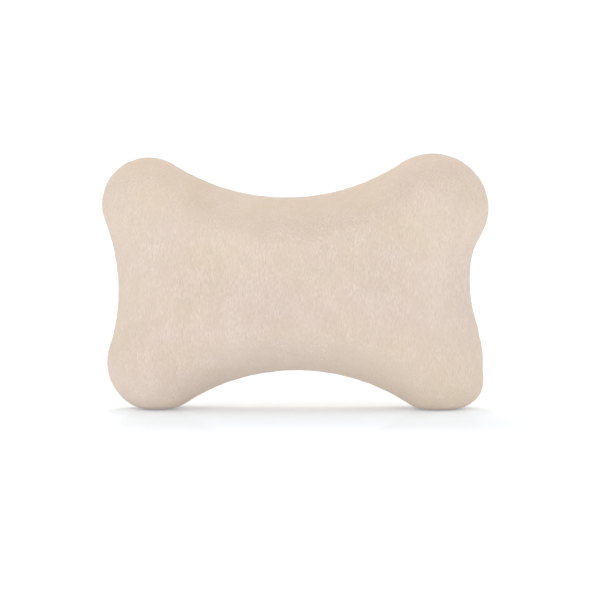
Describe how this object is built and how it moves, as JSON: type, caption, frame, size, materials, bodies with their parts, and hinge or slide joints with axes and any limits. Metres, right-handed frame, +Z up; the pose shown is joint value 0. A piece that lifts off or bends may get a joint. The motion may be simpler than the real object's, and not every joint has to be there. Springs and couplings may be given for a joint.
{
  "type": "neck pillow",
  "caption": "Bone-shaped padded neck pillow with a soft velour zip cover over a foam core, and an elastic strap behind for a headrest.",
  "frame": {"origin": "middle of the bounding box, at the floor the pillow stands on", "axes": "+Z up from the two lower lobes to the two upper ones, +X across the pillow to the right as seen from the front, +Y from the front face to the zip and strap at the back"},
  "size_m": [0.289, 0.1045, 0.191],
  "materials": {
    "velour": "soft beige short-pile velour, matte with a faint sheen",
    "liner_knit": "thin off-white jersey knit",
    "foam": "open-cell viscoelastic foam, pale cream",
    "zip_tape": "beige woven polyester tape",
    "zip_coil": "satin nylon monofilament",
    "zip_metal": "satin nickel-plated zinc",
    "thread": "beige polyester thread",
    "elastic": "beige ribbed woven elastic",
    "label_satin": "white satin ribbon, blank"
  },
  "bodies": {
    "pillow": {"foam_core": "foam", "liner_front": "liner_knit", "liner_back": "liner_knit", "cover_front": "velour", "cover_back_upper": "velour", "cover_back_lower": "velour", "zipper_tape_upper": "zip_tape", "zipper_tape_lower": "zip_tape", "zipper_coil_upper": "zip_coil", "zipper_coil_lower": "zip_coil", "zipper_top_stops": "zip_metal", "zipper_bottom_stop": "zip_metal", "zip_stitching_upper": "thread", "zip_stitching_lower": "thread", "elastic_strap": "elastic", "strap_tack_left": "thread", "strap_tack_right": "thread", "care_label": "label_satin"},
    "slider": {"zipper_slider": "zip_metal"},
    "pull_tab": {"zipper_pull": "zip_metal"}
  },
  "joints": [
    {"name": "zip_slide", "type": "hinge", "parent": "pillow", "child": "slider", "pos_m": [0, -0.56025, 0.072], "axis": [0, 0, 1], "range_deg": [0, 17.64]},
    {"name": "pull_flip", "type": "hinge", "parent": "slider", "child": "pull_tab", "pos_m": [0.09232, 0.03473, 0.072], "axis": [0, 0, -1], "range_deg": [0, 160]}
  ]
}
